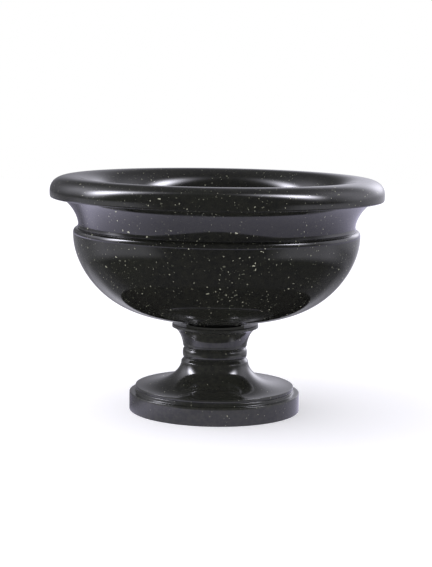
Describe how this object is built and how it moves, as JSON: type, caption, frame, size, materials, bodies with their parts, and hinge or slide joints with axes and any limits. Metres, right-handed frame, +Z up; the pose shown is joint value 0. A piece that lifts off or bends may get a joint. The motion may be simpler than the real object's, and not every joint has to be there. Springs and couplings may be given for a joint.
{
  "type": "marble bowl",
  "caption": "Wide round bowl with a rolled lip and a hollowed neck, on a turned foot with a stepped round plinth, in dark flecked stone; stands on a table and holds fruit or flowers.",
  "frame": {"origin": "on the table, under the middle of the round plinth", "axes": "+Z up along the axis that both pieces are turned about; -Y towards the camera of the picture"},
  "size_m": [0.3, 0.3, 0.2118],
  "materials": {
    "bowl_stone": "polished",
    "foot_stone": "polished"
  },
  "bodies": {
    "root": {"bowl": "bowl_stone", "foot": "foot_stone"}
  },
  "joints": []
}
